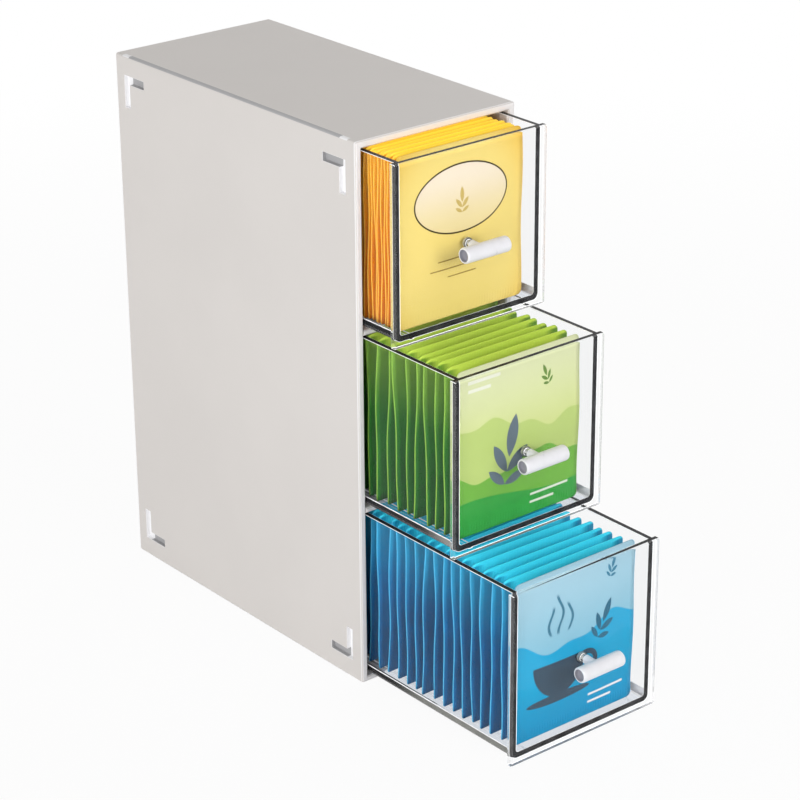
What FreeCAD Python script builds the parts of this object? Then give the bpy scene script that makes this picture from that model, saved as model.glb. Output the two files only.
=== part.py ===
import FreeCAD, Part
import os

import Sketcher
from FreeCAD import Vector

# Tea bag drawer box: an upright case with three bays, a clear drawer in each, a T-bar
# handle on each drawer's front, and a row of tea sachets standing in each drawer.
# The origin is the centre of the case's base. The drawers open towards -Y, +Z is up.
# Lengths are millimetres. A body's own frame has y = 0 at its front and x = 0 at its middle.

DRAWERS = ("bottom", "middle", "top")

DIMENSIONS = (
    ("bay_width", 83.0, "clear width of a bay between the case's side walls"),
    ("bay_height", 82.7, "clear height of a bay between floor and ceiling"),
    ("bay_depth", 177.5, "depth of a bay from the front rim to the back panel"),
    ("case_wall", 3.5, "thickness of the case's sides and top"),
    ("case_base", 2.6, "thickness of the case's base"),
    ("case_corner", 1.2, "radius of the case's four long edges"),
    ("case_rim_bevel", 0.7, "bevel of the edges round the front rim and the back"),
    ("shelf_thickness", 2.6, "thickness of the two shelves"),
    ("shelf_tongue", 1.2, "how far a shelf reaches into the groove of a side wall"),
    ("shelf_nose", 5.0, "length at the front of a shelf that has no tongue"),
    ("assembly_gap", 0.1, "gap round pieces that are fixed together"),
    ("back_thickness", 2.5, "thickness of the back panel"),
    ("back_rebate", 1.3, "width of the step that the back panel sits in"),
    ("link_leg", 15.5, "leg of the L-shaped link slots, along each edge"),
    ("link_width", 4.0, "width of a link slot"),
    ("link_depth", 2.2, "depth of a link slot"),
    ("link_gap", 0.3, "gap between a link foot and a slot on the next case, each way"),
    ("link_inset_depth", 7.0, "from the case's front and back to the corner of a link slot"),
    ("link_inset_height", 9.5, "from the case's top and base to the corner of a link slot"),
    ("drawer_wall", 2.5, "thickness of a drawer's side and rear walls"),
    ("drawer_floor", 2.5, "thickness of a drawer's floor"),
    ("drawer_side_gap", 0.6, "running gap at each side of a drawer"),
    ("drawer_running_gap", 0.3, "running gap below the runners"),
    ("drawer_top_gap", 1.1, "gap between the top of a drawer and its bay's ceiling"),
    ("drawer_rear_gap", 2.5, "gap behind a closed drawer"),
    ("drawer_corner", 3.0, "outer radius along the lower edges of a drawer"),
    ("drawer_inner_corner", 1.5, "inner radius along the lower edges of a drawer"),
    ("drawer_rear_corner", 3.0, "radius of a drawer's upright rear edges"),
    ("runner_height", 0.4, "height of the runners below a drawer"),
    ("runner_width", 2.0, "width of a runner"),
    ("runner_inset", 9.0, "from a drawer's side to the middle of its runner"),
    ("front_thickness", 3.0, "thickness of a drawer's front"),
    ("front_overlap", 1.5, "overlap of a drawer's front on the case's side walls"),
    ("front_drop", 1.35, "how far a drawer's front reaches below its bay's floor"),
    ("front_round", 0.8, "radius round the face of a drawer's front"),
    ("front_seat_gap", 0.3, "gap between a closed drawer's front and the case's rim"),
    ("handle_length", 24.5, "length of a handle's bar"),
    ("handle_radius", 3.6, "radius of a handle's bar"),
    ("handle_end_reach", 1.5, "length of the rounded end of a handle's bar"),
    ("handle_end_radius", 2.7, "radius at which the rounding meets the flat ring of an end"),
    ("handle_dish_radius", 2.1, "radius of the blind recess in each end of a handle's bar"),
    ("handle_dish_depth", 1.8, "depth of the recess in each end of a handle's bar"),
    ("handle_standoff", 8.7, "from a drawer's front to the axis of the bar"),
    ("handle_level", 36.6, "height of the bar's axis above its bay's floor"),
    ("stem_radius", 2.4, "radius of the stem that carries the bar"),
    ("screw_radius", 1.5, "radius of the handle screw's shank"),
    ("screw_clearance", 0.1, "gap round the handle screw's shank"),
    ("screw_length", 9.0, "length of the handle screw under its head"),
    ("screw_head_radius", 2.9, "radius of the handle screw's head"),
    ("screw_head_height", 1.8, "height of the handle screw's head"),
    ("screw_head_bevel", 0.7, "bevel round the handle screw's head"),
    ("sachet_stand_gap", 0.3, "gap between a sachet and the drawer's floor"),
    ("sachet_headroom", 1.0, "gap between a sachet and its bay's ceiling"),
    ("sachet_left_gap", 0.3, "gap between a sachet and the drawer's left inner corner"),
    ("sachet_right_gap", 2.3, "gap between a sachet and the drawer's right inner corner"),
    ("sachet_front_gap", 0.5, "gap between the front sachet and the handle screw's head"),
    ("sachet_thickness", 3.8, "thickness of a sachet at its middle"),
    ("sachet_edge", 0.8, "thickness of a sachet's sealed bands"),
    ("sachet_seal", 5.0, "height of the sealed bands along a sachet's top and base"),
    ("sachet_rise", 14.0, "height over which a sachet swells from a band to its belly"),
    ("pull_bottom", 97.0, "how far the bottom drawer stands open"),
    ("pull_middle", 59.0, "how far the middle drawer stands open"),
    ("pull_top", 20.0, "how far the top drawer stands open"),
    ("count_bottom", 20, "number of sachets in the bottom drawer, the front one included"),
    ("count_middle", 18, "number of sachets in the middle drawer, the front one included"),
    ("count_top", 24, "number of sachets in the top drawer, the front one included"),
    ("pitch_bottom", 6.5, "distance between sachets in the bottom drawer"),
    ("pitch_middle", 6.5, "distance between sachets in the middle drawer"),
    ("pitch_top", 4.3, "distance between sachets in the top drawer"),
)

# Lengths that follow from the driving dimensions, as expressions on the sheet.
CASE_WIDTH = "(Sizes.bay_width + 2 * Sizes.case_wall)"
CASE_DEPTH = "(Sizes.bay_depth + Sizes.back_thickness)"
BAY_PITCH = "(Sizes.bay_height + Sizes.shelf_thickness)"
CASE_HEIGHT = (
    "(Sizes.case_base + Sizes.case_wall"
    " + 3 * Sizes.bay_height + 2 * Sizes.shelf_thickness)"
)
DRAWER_WIDTH = "(Sizes.bay_width - 2 * Sizes.drawer_side_gap)"
DRAWER_DEPTH = "(Sizes.bay_depth - Sizes.drawer_rear_gap + Sizes.front_seat_gap)"
DRAWER_BASE = "(Sizes.drawer_running_gap + Sizes.runner_height)"
DRAWER_TOP = "(Sizes.bay_height - Sizes.drawer_top_gap)"
FLOOR_LEVEL = f"({DRAWER_BASE} + Sizes.drawer_floor)"
FRONT_WIDTH = "(Sizes.bay_width + 2 * Sizes.front_overlap)"
SACHET_BASE = f"({FLOOR_LEVEL} + Sizes.sachet_stand_gap)"
SACHET_TOP = "(Sizes.bay_height - Sizes.sachet_headroom)"
SACHET_LEFT = "(Sizes.drawer_wall + Sizes.drawer_inner_corner + Sizes.sachet_left_gap)"
SACHET_RIGHT = "(Sizes.drawer_wall + Sizes.drawer_inner_corner + Sizes.sachet_right_gap)"
SACHET_START = "(Sizes.screw_head_height + Sizes.sachet_front_gap + Sizes.sachet_thickness / 2)"

doc = FreeCAD.newDocument("tea_bag_drawer_box")
sheet = doc.addObject("Spreadsheet::Sheet", "Sizes")


def fill_sheet():
    """Write the driving dimensions into the sheet, one row each."""
    for row, (name, size, note) in enumerate(DIMENSIONS, start=1):
        sheet.set(f"A{row}", name)
        sheet.set(f"B{row}", str(size))
        sheet.set(f"C{row}", note)
        sheet.setAlias(f"B{row}", name)
    doc.recompute()


def value(expression):
    """The number that an expression on the sheet gives now."""
    result = sheet.evalExpression(str(expression).replace("Sizes.", ""))
    return float(getattr(result, "Value", result))


def bay_floor(index):
    """Height of the floor of bay 0, 1 or 2, counted from the base, as an expression."""
    return f"(Sizes.case_base + {index} * {BAY_PITCH})"


def new_body(name):
    """A body of the assembly; its label is the name of its file."""
    body = doc.addObject("PartDesign::Body", name)
    body.Label = name
    return body


def place(body, **expressions):
    """Bind the body's position, given as x, y and z expressions."""
    for axis, expression in expressions.items():
        body.setExpression(f".Placement.Base.{axis}", str(expression))


def new_sketch(body, plane, name, **offsets):
    """A sketch on one of the body's own planes, moved by x, y and z offset expressions."""
    sketch = body.newObject("Sketcher::SketchObject", name)
    origin_plane = next(f for f in body.Origin.OriginFeatures if f.Role == plane)
    sketch.AttachmentSupport = [(origin_plane, "")]
    sketch.MapMode = "FlatFace"
    for axis, expression in offsets.items():
        sketch.setExpression(f".AttachmentOffset.Base.{axis}", expression)
    return sketch


def pin_point(sketch, geometry, vertex, x, y):
    """Fix a point of a sketch at two expressions, measured from the sketch's origin."""
    for kind, expression in (("DistanceX", x), ("DistanceY", y)):
        at = sketch.addConstraint(
            Sketcher.Constraint(kind, -1, 1, geometry, vertex, value(expression)))
        sketch.setExpression(f"Constraints[{at}]", str(expression))


def outline(sketch, points):
    """A closed outline of straight lines through points given as pairs of expressions."""
    places = [Vector(value(x), value(y), 0) for x, y in points]
    first = sketch.GeometryCount
    count = len(places)
    for i, start in enumerate(places):
        sketch.addGeometry(Part.LineSegment(start, places[(i + 1) % count]))
    for i, (x, y) in enumerate(points):
        before = first + (i - 1) % count
        sketch.addConstraint(Sketcher.Constraint("Coincident", before, 2, first + i, 1))
        pin_point(sketch, first + i, 1, x, y)


def rectangle(sketch, left, bottom, right, top):
    """A rectangle between two corners given as expressions."""
    outline(sketch, ((left, bottom), (right, bottom), (right, top), (left, top)))


def circle(sketch, x, y, radius):
    """A circle whose centre and radius are expressions."""
    round_line = Part.Circle(Vector(value(x), value(y), 0), Vector(0, 0, 1), value(radius))
    index = sketch.addGeometry(round_line)
    pin_point(sketch, index, 3, x, y)
    at = sketch.addConstraint(Sketcher.Constraint("Radius", index, value(radius)))
    sketch.setExpression(f"Constraints[{at}]", radius)


def extrude(body, kind, sketch, name, length=None, backward=False):
    """A Pad or a Pocket of the sketch; with no length it runs through all."""
    feature = body.newObject(f"PartDesign::{kind}", name)
    feature.Profile = sketch
    feature.Reversed = backward
    if length is None:
        feature.Type = "ThroughAll"
    else:
        feature.setExpression("Length", length)
    doc.recompute()
    return feature


def dress_edges(body, kind, name, size, chosen):
    """Fillet or Chamfer the edges of the body's last feature that the test picks."""
    feature = body.Tip
    names = []
    for number, edge in enumerate(feature.Shape.Edges, start=1):
        low, high = edge.ParameterRange
        middle = edge.valueAt((low + high) / 2)
        along = edge.valueAt(high) - edge.valueAt(low)
        if chosen(middle, along):
            names.append(f"Edge{number}")
    dressed = body.newObject(f"PartDesign::{kind}", name)
    dressed.Base = (feature, names)
    dressed.setExpression("Radius" if kind == "Fillet" else "Size", size)
    doc.recompute()
    return dressed


def round_edges(body, name, radius, chosen):
    """Fillet the edges that the test picks by their middle and their chord."""
    return dress_edges(body, "Fillet", name, radius, chosen)


def runs_along(direction, axis):
    """True if an edge's chord lies along the axis named x, y or z."""
    size = getattr(direction, axis)
    return abs(size) > 0.99 * direction.Length and direction.Length > 1e-6


def near(a, b):
    """True if two lengths are the same to the model's precision."""
    return abs(a - b) < 1e-4


# ---------------------------------------------------------------- case

def link_outline(corner, leg, width, inward, upward):
    """The six points of an L whose outer corner is given, its legs running inward and up."""
    y, z = corner
    return (
        (y, z),
        (f"{y} + {inward} * {leg}", z),
        (f"{y} + {inward} * {leg}", f"{z} + {upward} * {width}"),
        (f"{y} + {inward} * {width}", f"{z} + {upward} * {width}"),
        (f"{y} + {inward} * {width}", f"{z} + {upward} * {leg}"),
        (y, f"{z} + {upward} * {leg}"),
    )


def add_link_outlines(sketch, shrink):
    """Four L outlines, one near each corner of a side, each made smaller all round."""
    leg = f"(Sizes.link_leg - 2 * {shrink})"
    width = f"(Sizes.link_width - 2 * {shrink})"
    front = f"(Sizes.link_inset_depth + {shrink})"
    back = f"({CASE_DEPTH} - Sizes.link_inset_depth - {shrink})"
    low = f"(Sizes.link_inset_height + {shrink})"
    high = f"({CASE_HEIGHT} - Sizes.link_inset_height - {shrink})"
    for y, inward in ((front, 1), (back, -1)):
        for z, upward in ((low, 1), (high, -1)):
            outline(sketch, link_outline((y, z), leg, width, inward, upward))


def make_case_shell():
    """The moulded case: a tube open at the front and back, with link slots and link feet."""
    body = new_body("case_shell")
    half = f"{CASE_WIDTH} / 2"
    half_bay = "Sizes.bay_width / 2"
    wall_top = f"{CASE_HEIGHT} - Sizes.case_wall"

    outer = new_sketch(body, "XZ_Plane", "case_outer")
    rectangle(outer, f"-{half}", 0, half, CASE_HEIGHT)
    extrude(body, "Pad", outer, "case_block", CASE_DEPTH, backward=True)
    round_edges(body, "case_long_edges", "Sizes.case_corner", lambda at, along: runs_along(along, "y"))

    inner = new_sketch(body, "XZ_Plane", "case_inner")
    rectangle(inner, f"-{half_bay}", "Sizes.case_base", half_bay, wall_top)
    extrude(body, "Pocket", inner, "case_bays")

    rebate = new_sketch(body, "XZ_Plane", "case_rebate", z=f"-{CASE_DEPTH}")
    step = "Sizes.back_rebate"
    rectangle(rebate, f"-{half_bay} - {step}", f"Sizes.case_base - {step}",
              f"{half_bay} + {step}", f"{wall_top} + {step}")
    extrude(body, "Pocket", rebate, "case_back_step", "Sizes.back_thickness", backward=True)

    grooves = new_sketch(body, "XZ_Plane", "shelf_grooves", z=f"-{CASE_DEPTH}")
    reach = f"{half_bay} + Sizes.shelf_tongue + Sizes.assembly_gap"
    for bay in (1, 2):
        rectangle(grooves, f"-{half_bay} - Sizes.shelf_tongue - Sizes.assembly_gap",
                  f"{bay_floor(bay)} - Sizes.shelf_thickness - Sizes.assembly_gap",
                  reach, f"{bay_floor(bay)} + Sizes.assembly_gap")
    extrude(body, "Pocket", grooves, "case_grooves", f"{CASE_DEPTH} - Sizes.shelf_nose", backward=True)

    slots = new_sketch(body, "YZ_Plane", "link_slots", z=f"-{half}")
    add_link_outlines(slots, "0")
    extrude(body, "Pocket", slots, "case_link_slots", "Sizes.link_depth", backward=True)

    feet = new_sketch(body, "YZ_Plane", "link_feet", z=half)
    add_link_outlines(feet, "Sizes.link_gap")
    extrude(body, "Pad", feet, "case_link_feet", "Sizes.link_depth - Sizes.link_gap")

    depth = value(CASE_DEPTH)
    inside = value("Sizes.bay_width") / 2 + value("Sizes.back_rebate") + 1e-3
    low = value("Sizes.case_base") - value("Sizes.back_rebate") - 1e-3
    high = value(CASE_HEIGHT) - value("Sizes.case_wall") + value("Sizes.back_rebate") + 1e-3

    def on_rim(at, along):
        """Edges of the front rim, inside and outside, and the outer edges of the back."""
        outside = abs(at.x) > inside or at.z < low or at.z > high
        return near(at.y, 0) or (near(at.y, depth) and outside)

    dress_edges(body, "Chamfer", "case_rim_edges", "Sizes.case_rim_bevel", on_rim)
    place(body, y=f"-{CASE_DEPTH} / 2")
    return body


def make_shelf(name, bay):
    """A shelf below the given bay, with a tongue along each side for the case's grooves."""
    body = new_body(name)
    plan = new_sketch(body, "XY_Plane", f"{name}_plan")
    half = "Sizes.bay_width / 2 - Sizes.assembly_gap"
    reach = "Sizes.bay_width / 2 + Sizes.shelf_tongue"
    nose = "Sizes.shelf_nose + Sizes.assembly_gap"
    rear = "Sizes.bay_depth - Sizes.assembly_gap"
    outline(plan, (
        (f"-({half})", 0), (half, 0), (half, nose), (reach, nose),
        (reach, rear), (f"-({reach})", rear), (f"-({reach})", nose), (f"-({half})", nose),
    ))
    extrude(body, "Pad", plan, f"{name}_plate", "Sizes.shelf_thickness")
    dress_edges(body, "Chamfer", f"{name}_nose", "Sizes.case_rim_bevel",
                lambda at, along: near(at.y, 0) and runs_along(along, "x"))
    place(body, y=f"-{CASE_DEPTH} / 2", z=f"{bay_floor(bay)} - Sizes.shelf_thickness")
    return body


def make_back_panel():
    """The flat panel that closes the back, set into the step round the case's edge."""
    body = new_body("back_panel")
    face = new_sketch(body, "XZ_Plane", "back_face")
    half = "Sizes.bay_width / 2 + Sizes.back_rebate - Sizes.assembly_gap"
    low = "Sizes.case_base - Sizes.back_rebate + Sizes.assembly_gap"
    high = f"{CASE_HEIGHT} - Sizes.case_wall + Sizes.back_rebate - Sizes.assembly_gap"
    rectangle(face, f"-({half})", low, half, high)
    extrude(body, "Pad", face, "back_plate", "Sizes.back_thickness", backward=True)
    place(body, y=f"{CASE_DEPTH} / 2 - Sizes.back_thickness")
    return body


# ---------------------------------------------------------------- drawers

def drawer_place(drawer):
    """Place of a drawer's own frame: the rear face of its front, on its bay's floor."""
    pull = f"Sizes.pull_{drawer}"
    return {"y": f"-{CASE_DEPTH} / 2 - Sizes.front_seat_gap - {pull}", "z": bay_floor(DRAWERS.index(drawer))}


def make_drawer(drawer):
    """A clear moulded drawer: a tray on two runners, with a front that laps the case's rim."""
    body = new_body(f"drawer_{drawer}")
    half = f"{DRAWER_WIDTH} / 2"

    tray = new_sketch(body, "XZ_Plane", f"tray_{drawer}")
    rectangle(tray, f"-{half}", DRAWER_BASE, half, DRAWER_TOP)
    extrude(body, "Pad", tray, f"tray_block_{drawer}", DRAWER_DEPTH, backward=True)
    base = value(DRAWER_BASE)
    rear = value(DRAWER_DEPTH)
    round_edges(body, f"tray_rear_{drawer}", "Sizes.drawer_rear_corner",
                lambda at, along: near(at.y, rear) and runs_along(along, "z"))
    round_edges(body, f"tray_lower_{drawer}", "Sizes.drawer_corner",
                lambda at, along: near(at.z, base) and runs_along(along, "y"))

    inside = f"{half} - Sizes.drawer_wall"
    hollow = new_sketch(body, "XZ_Plane", f"hollow_{drawer}")
    rectangle(hollow, f"-({inside})", FLOOR_LEVEL, inside, f"{DRAWER_TOP} + Sizes.drawer_top_gap")
    extrude(body, "Pocket", hollow, f"tray_hollow_{drawer}", f"{DRAWER_DEPTH} - Sizes.drawer_wall")
    floor = value(FLOOR_LEVEL)
    round_edges(body, f"tray_inner_{drawer}", "Sizes.drawer_inner_corner",
                lambda at, along: near(at.z, floor) and runs_along(along, "y"))

    runners = new_sketch(body, "XZ_Plane", f"runners_{drawer}")
    middle = f"({half} - Sizes.runner_inset)"
    for side in (-1, 1):
        rectangle(runners, f"{side} * {middle} - Sizes.runner_width / 2", "Sizes.drawer_running_gap",
                  f"{side} * {middle} + Sizes.runner_width / 2", DRAWER_BASE)
    extrude(body, "Pad", runners, f"tray_runners_{drawer}",
            f"{DRAWER_DEPTH} - Sizes.drawer_rear_corner", backward=True)

    front = new_sketch(body, "XZ_Plane", f"front_{drawer}")
    half_front = f"{FRONT_WIDTH} / 2"
    rectangle(front, f"-{half_front}", "-Sizes.front_drop", half_front, DRAWER_TOP)
    extrude(body, "Pad", front, f"front_plate_{drawer}", "Sizes.front_thickness")
    face = -value("Sizes.front_thickness")
    round_edges(body, f"front_edges_{drawer}", "Sizes.front_round", lambda at, along: near(at.y, face))

    hole = new_sketch(body, "XZ_Plane", f"screw_hole_{drawer}")
    circle(hole, 0, "Sizes.handle_level", "Sizes.screw_radius + Sizes.screw_clearance")
    extrude(body, "Pocket", hole, f"front_hole_{drawer}", backward=True)
    place(body, **drawer_place(drawer))
    return body


def bar_outline():
    """Half of the bar in section: a straight length, each end turned in by two bevels and dished."""
    half = "Sizes.handle_length / 2"
    bottom = f"({half} - Sizes.handle_dish_depth)"
    shoulder = f"({half} - Sizes.handle_end_reach)"
    knee_along = f"({half} - Sizes.handle_end_reach * 0.3)"
    knee_out = "Sizes.handle_radius * 0.6 + Sizes.handle_end_radius * 0.4"
    right = (
        (bottom, 0), (bottom, "Sizes.handle_dish_radius"), (half, "Sizes.handle_dish_radius"),
        (half, "Sizes.handle_end_radius"), (knee_along, knee_out), (shoulder, "Sizes.handle_radius"),
    )
    left = tuple((f"-{along}", out) for along, out in reversed(right))
    return right + left


def make_handle(drawer):
    """A T-bar handle: a round bar on a stem, with a blind hole for the screw."""
    body = new_body(f"handle_{drawer}")
    profile = new_sketch(body, "XY_Plane", f"bar_profile_{drawer}", y="-Sizes.handle_standoff")
    outline(profile, bar_outline())
    bar = body.newObject("PartDesign::Revolution", f"bar_{drawer}")
    bar.Profile = profile
    bar.ReferenceAxis = (profile, ["H_Axis"])
    bar.Angle = 360
    doc.recompute()

    stem = new_sketch(body, "XZ_Plane", f"stem_{drawer}")
    circle(stem, 0, 0, "Sizes.stem_radius")
    extrude(body, "Pad", stem, f"stem_post_{drawer}", "Sizes.handle_standoff")
    pilot = new_sketch(body, "XZ_Plane", f"pilot_{drawer}")
    circle(pilot, 0, 0, "Sizes.screw_radius + Sizes.screw_clearance")
    depth = "Sizes.screw_length - Sizes.front_thickness + Sizes.screw_clearance"
    extrude(body, "Pocket", pilot, f"pilot_hole_{drawer}", depth, backward=True)
    at = drawer_place(drawer)
    place(body, y=f"{at['y']} - Sizes.front_thickness", z=f"{at['z']} + Sizes.handle_level")
    return body


def make_screw(drawer):
    """The handle's screw: a domed head inside the drawer and a shank through its front."""
    body = new_body(f"handle_screw_{drawer}")
    profile = new_sketch(body, "XY_Plane", f"screw_profile_{drawer}")
    outline(profile, (
        (0, "-Sizes.screw_length"),
        ("Sizes.screw_radius", "-Sizes.screw_length"),
        ("Sizes.screw_radius", 0),
        ("Sizes.screw_head_radius", 0),
        ("Sizes.screw_head_radius", "Sizes.screw_head_height"),
        (0, "Sizes.screw_head_height"),
    ))
    turned = body.newObject("PartDesign::Revolution", f"screw_{drawer}")
    turned.Profile = profile
    turned.ReferenceAxis = (profile, ["V_Axis"])
    turned.Angle = 360
    doc.recompute()
    crown = value("Sizes.screw_head_height")
    dress_edges(body, "Chamfer", f"screw_crown_{drawer}", "Sizes.screw_head_bevel",
                lambda at, along: near(at.y, crown))
    at = drawer_place(drawer)
    place(body, y=at["y"], z=f"{at['z']} + Sizes.handle_level")
    return body


# ---------------------------------------------------------------- sachets

def sachet_profile(sketch):
    """A sachet in side view: a flat belly between two thin sealed bands, above and below."""
    edge, belly = "Sizes.sachet_edge / 2", "Sizes.sachet_thickness / 2"
    seal = "Sizes.sachet_seal"
    bulge = "(Sizes.sachet_seal + Sizes.sachet_rise)"
    back = (
        (edge, SACHET_BASE), (edge, f"{SACHET_BASE} + {seal}"), (belly, f"{SACHET_BASE} + {bulge}"),
        (belly, f"{SACHET_TOP} - {bulge}"), (edge, f"{SACHET_TOP} - {seal}"), (edge, SACHET_TOP),
    )
    front = tuple((f"-{out}", height) for out, height in reversed(back))
    outline(sketch, back + front)


def make_sachets(name, drawer, count, start):
    """A row of standing sachets, each a solid of its own, from the start place backwards."""
    body = new_body(name)
    body.AllowCompound = True
    profile = new_sketch(body, "YZ_Plane", f"{name}_profile", z=f"{SACHET_LEFT} - {DRAWER_WIDTH} / 2")
    sachet_profile(profile)
    pad = extrude(body, "Pad", profile, f"{name}_first", f"{DRAWER_WIDTH} - {SACHET_LEFT} - {SACHET_RIGHT}")
    if count != "1":
        row = body.newObject("PartDesign::LinearPattern", f"{name}_row")
        row.Originals = [pad]
        row.Direction = (profile, ["H_Axis"])
        row.setExpression("Occurrences", count)
        row.setExpression("Length", f"({count} - 1) * Sizes.pitch_{drawer}")
        body.Tip = row
        doc.recompute()
    at = drawer_place(drawer)
    place(body, y=f"{at['y']} + {start}", z=at["z"])
    return body


# ---------------------------------------------------------------- assembly

def make_assembly():
    """All pieces, in the order in which they are put together."""
    pieces = [make_case_shell(), make_shelf("shelf_lower", 1), make_shelf("shelf_upper", 2)]
    pieces.append(make_back_panel())
    for drawer in DRAWERS:
        pieces.append(make_drawer(drawer))
        pieces.append(make_handle(drawer))
        pieces.append(make_screw(drawer))
        pieces.append(make_sachets(f"sachet_front_{drawer}", drawer, "1", SACHET_START))
        second = f"{SACHET_START} + Sizes.pitch_{drawer}"
        behind = f"(Sizes.count_{drawer} - 1)"
        pieces.append(make_sachets(f"sachets_{drawer}", drawer, behind, second))
    doc.recompute()
    return pieces


def check(pieces):
    """Stop if an object of the document has failed or a piece has no sound shape."""
    for item in doc.Objects:
        if "Invalid" in item.State or "Error" in item.State:
            raise RuntimeError(f"{item.Name} failed: {item.State}")
    for piece in pieces:
        shape = piece.Shape
        if shape.isNull() or not shape.isValid() or not shape.Solids:
            raise RuntimeError(f"{piece.Label} has no sound shape")


def write(pieces):
    """Write one STEP file for each piece, named by its label."""
    os.makedirs("parts", exist_ok=True)
    for piece in pieces:
        piece.Shape.exportStep(f"parts/{piece.Label}.step")


fill_sheet()
assembly = make_assembly()
check(assembly)
write(assembly)
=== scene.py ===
import math

import bmesh
import bpy
import numpy as np
from bpy.props import FloatProperty, FloatVectorProperty, IntProperty, PointerProperty
from mathutils import Matrix, Vector


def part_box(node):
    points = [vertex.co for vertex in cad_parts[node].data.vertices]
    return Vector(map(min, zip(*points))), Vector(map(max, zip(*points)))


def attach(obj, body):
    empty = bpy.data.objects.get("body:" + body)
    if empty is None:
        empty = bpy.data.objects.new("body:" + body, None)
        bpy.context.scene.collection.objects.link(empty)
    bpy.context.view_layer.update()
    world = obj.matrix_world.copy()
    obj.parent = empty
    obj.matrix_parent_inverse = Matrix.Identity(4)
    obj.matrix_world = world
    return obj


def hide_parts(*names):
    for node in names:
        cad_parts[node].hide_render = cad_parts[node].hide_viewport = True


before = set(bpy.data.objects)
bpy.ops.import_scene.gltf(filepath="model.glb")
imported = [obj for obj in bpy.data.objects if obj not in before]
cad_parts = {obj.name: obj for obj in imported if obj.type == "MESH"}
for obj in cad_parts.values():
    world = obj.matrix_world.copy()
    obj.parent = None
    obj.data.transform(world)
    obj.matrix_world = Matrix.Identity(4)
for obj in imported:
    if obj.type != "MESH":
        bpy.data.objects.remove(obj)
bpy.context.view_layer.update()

bl_info = {
    "name": "Tea Bag Drawer Box",
    "version": (1, 0, 0),
    "blender": (4, 5, 0),
    "location": "View3D > Sidebar > Tea Box",
    "description": "Dresses a three-drawer tea box: white case, clear drawers, handles, sachets",
    "category": "Object",
}

MM = 0.001
WHITE = (1.0, 1.0, 1.0, 1.0)
BLACK = (0.0, 0.0, 0.0, 1.0)
SATIN = 0.12        # the specular level of satin plastic and paper
STRAIGHT = 0.9      # a face looks straight along an axis where its normal passes this

# The drawers, and of each one's row: the flavour that names its colours, the room a sachet has
# along the row, the sheets of paper shown in that room, how unevenly the sheets stand, and the
# seed of that unevenness.
DRAWERS = ("bottom", "middle", "top")
FLAVOUR = {"bottom": "blue", "middle": "green", "top": "yellow"}
SACHET_ROOM = {"bottom": 4.0 * MM, "middle": 4.0 * MM, "top": 3.3 * MM}
SHEETS = {"bottom": 1, "middle": 1, "top": 2}
LIVELY = {"bottom": 1.0, "middle": 1.0, "top": 0.45}
SEED = {"bottom": 11, "middle": 23, "top": 37}

# A sachet's sealed border: half its thickness, and the radii of the outline's corners, of which
# the lower left one is nearly sharp. A row: the air at each side of it and at each end, and how
# near to an end its sheets stand less freely.
SEAL_HALF = 0.18 * MM
SACHET_CORNER, SHARP_CORNER = 2.4 * MM, 0.7 * MM
SIDE_AIR, END_AIR, PRESSED = 0.4 * MM, 0.3 * MM, 8 * MM

# The painted highlight and shade of the link slots in the case's left side show where x, then y
# and z from the case's middle, pass from the first to the second number of each pair. The last
# two pairs are for the level legs, painted grey as shade.
CASE_MIDDLE = 129.7 * MM
SLOT_MOUTH, SLOT_BOTTOM = (-44.9 * MM, -44.8 * MM), (-42.6 * MM, -42.7 * MM)
SLOT_REACH, SLOT_RISE = (84.5 * MM, 84.0 * MM), (103.0 * MM, 103.5 * MM)
LEVEL_REACH, LEVEL_RISE = (79.2 * MM, 79.0 * MM), (116.0 * MM, 116.2 * MM)
# The lift of the case's colour on faces that look to the front and on its rounded edges: painted
# light.
RIM_PAINTED_LIGHT = (1.20, 1.23, 1.28)

# A drawer: its front's thickness and the width of the bright border round it, half the tray's
# width, the thickness of the tray's walls and floor, the height of the tray's underside above
# the front's lower edge, the outer radius of its lower corners, a little inside the plastic, the
# heights that part floor from walls and walls from their tops, and the screw hole's surroundings.
FRONT_DEPTH, FRONT_BORDER = 3.0 * MM, 0.9 * MM
TRAY_HALF = 40.9 * MM
TRAY_WALL = 2.5 * MM
TRAY_RISE = 2.05 * MM
TRAY_BEND = 2.9 * MM
FLOOR_BELOW, TOPS_ABOVE = 8 * MM, 70 * MM
HOLE_HALF = 4 * MM
CLEAR_SOFTNESS = 0.42 * MM
CLEAR_IOR = 1.15

# The clear finishes of a drawer in the order of their slots: colour, share of the light that
# passes, roughness, and brightness of a lamp's light behind them. The softened edges are the
# second slot and have a finish of their own, a painted highlight. The dark lower corners, wall
# tops and front foot are painted shade and dark reflection, and the tinted floor is painted
# shade on what is seen through it.
CLEAR = {
    "plastic": ((0.966, 0.970, 0.972), 1.0, 0.0, 0.96),
    "edges": None,
    "lower_corners_painted_dark": ((0.75, 0.76, 0.77), 0.9, 0.05, 0.8),
    "front_ends": ((0.975, 0.98, 0.985), 0.93, 0.03, 0.9),
    "wall_tops_painted_dark": ((0.03, 0.03, 0.032), 0.12, 0.25, 0.7),
    "front_top": ((0.975, 0.98, 0.985), 0.92, 0.03, 0.9),
    "floor": ((0.76, 0.79, 0.84), 1.0, 0.02, 0.9),
    "front_foot_painted_dark": ((0.3, 0.3, 0.31), 0.3, 0.2, 0.8),
}

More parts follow.
